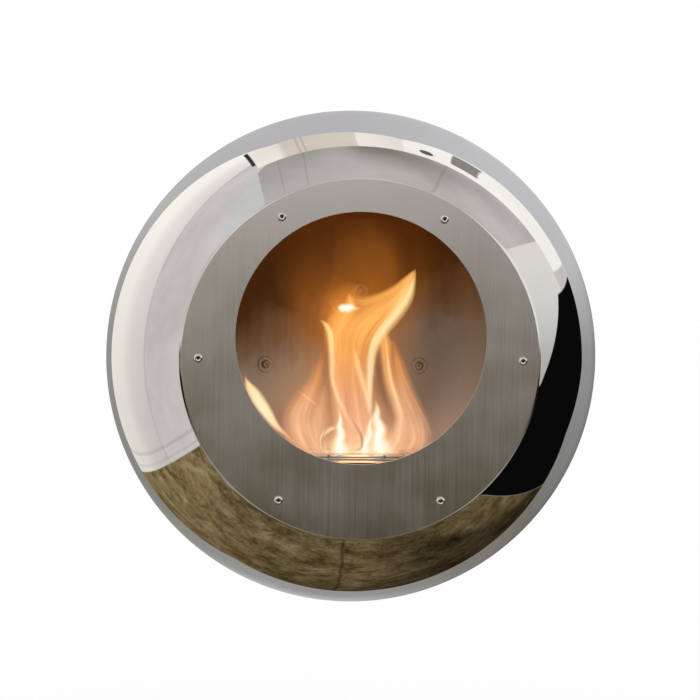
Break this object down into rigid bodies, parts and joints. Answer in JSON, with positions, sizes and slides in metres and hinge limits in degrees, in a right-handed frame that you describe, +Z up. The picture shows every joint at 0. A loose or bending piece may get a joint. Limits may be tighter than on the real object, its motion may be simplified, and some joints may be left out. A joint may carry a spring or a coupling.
{
  "type": "hanging fireplace",
  "caption": "Wall-hung bioethanol fireplace: polished lens-shaped steel body, brushed ring round a round fire mouth, burner with sliding regulator.",
  "frame": {"origin": "the point of the wall plate's back face on the body's axis, 10 mm above the centre of the anchor holes", "axes": "+Z up, +Y into the wall, +X to the right of someone who looks at the fire"},
  "size_m": [0.6, 0.2816, 0.6],
  "materials": {
    "polished_steel": "mirror polished",
    "satin_steel": "brushed",
    "tinted_steel": "heat tinted",
    "zinc_steel": "satin",
    "black_steel": "fine matt black",
    "ceramic_fibre": "soft fibre",
    "rubber": "matt"
  },
  "bodies": {
    "wall_bracket": {"wall_plate": "black_steel"},
    "fire_body": {"front_shell": "polished_steel", "rear_shell": "polished_steel", "fascia_screw_1": "polished_steel", "fascia_screw_2": "polished_steel", "fascia_screw_3": "polished_steel", "fascia_screw_4": "polished_steel", "fascia_screw_5": "polished_steel", "fascia_screw_6": "polished_steel", "seam_band": "satin_steel", "fascia_plate": "satin_steel", "deck_ledge_left": "satin_steel", "deck_ledge_right": "satin_steel", "deck": "tinted_steel", "back_plate": "tinted_steel", "deck_screw_left_1": "tinted_steel", "deck_screw_left_2": "tinted_steel", "deck_screw_right_1": "tinted_steel", "deck_screw_right_2": "tinted_steel", "back_bolt_1": "tinted_steel", "back_bolt_2": "tinted_steel", "back_bolt_3": "tinted_steel", "back_washer_1": "tinted_steel", "back_washer_2": "tinted_steel", "back_washer_3": "tinted_steel", "fascia_weld_nut_1": "zinc_steel", "fascia_weld_nut_2": "zinc_steel", "fascia_weld_nut_3": "zinc_steel", "fascia_weld_nut_4": "zinc_steel", "fascia_weld_nut_5": "zinc_steel", "fascia_weld_nut_6": "zinc_steel", "burner_tray": "zinc_steel", "heat_shield": "zinc_steel", "back_spacer_1": "zinc_steel", "back_spacer_2": "zinc_steel", "back_spacer_3": "zinc_steel", "back_nut_1": "zinc_steel", "back_nut_2": "zinc_steel", "back_nut_3": "zinc_steel", "hanger_plate": "black_steel", "wall_bumper_left": "rubber", "wall_bumper_right": "rubber"},
    "burner": {"burner_can": "zinc_steel", "burner_wool": "ceramic_fibre", "burner_lid": "satin_steel", "slide_rail_left": "satin_steel", "slide_rail_right": "satin_steel", "slide_stop_left": "satin_steel", "slide_stop_right": "satin_steel"},
    "regulator": {"regulator_slide": "satin_steel"}
  },
  "joints": [
    {"name": "body_lift", "type": "slide", "parent": "wall_bracket", "child": "fire_body", "axis": [0, 0, 1], "range_m": [0, 0.02]},
    {"name": "burner_lift", "type": "slide", "parent": "fire_body", "child": "burner", "axis": [0, 0, 1], "range_m": [0, 0.065]},
    {"name": "regulator_slide_back", "type": "slide", "parent": "burner", "child": "regulator", "axis": [0, 1, 0], "range_m": [0, 0.054]}
  ]
}
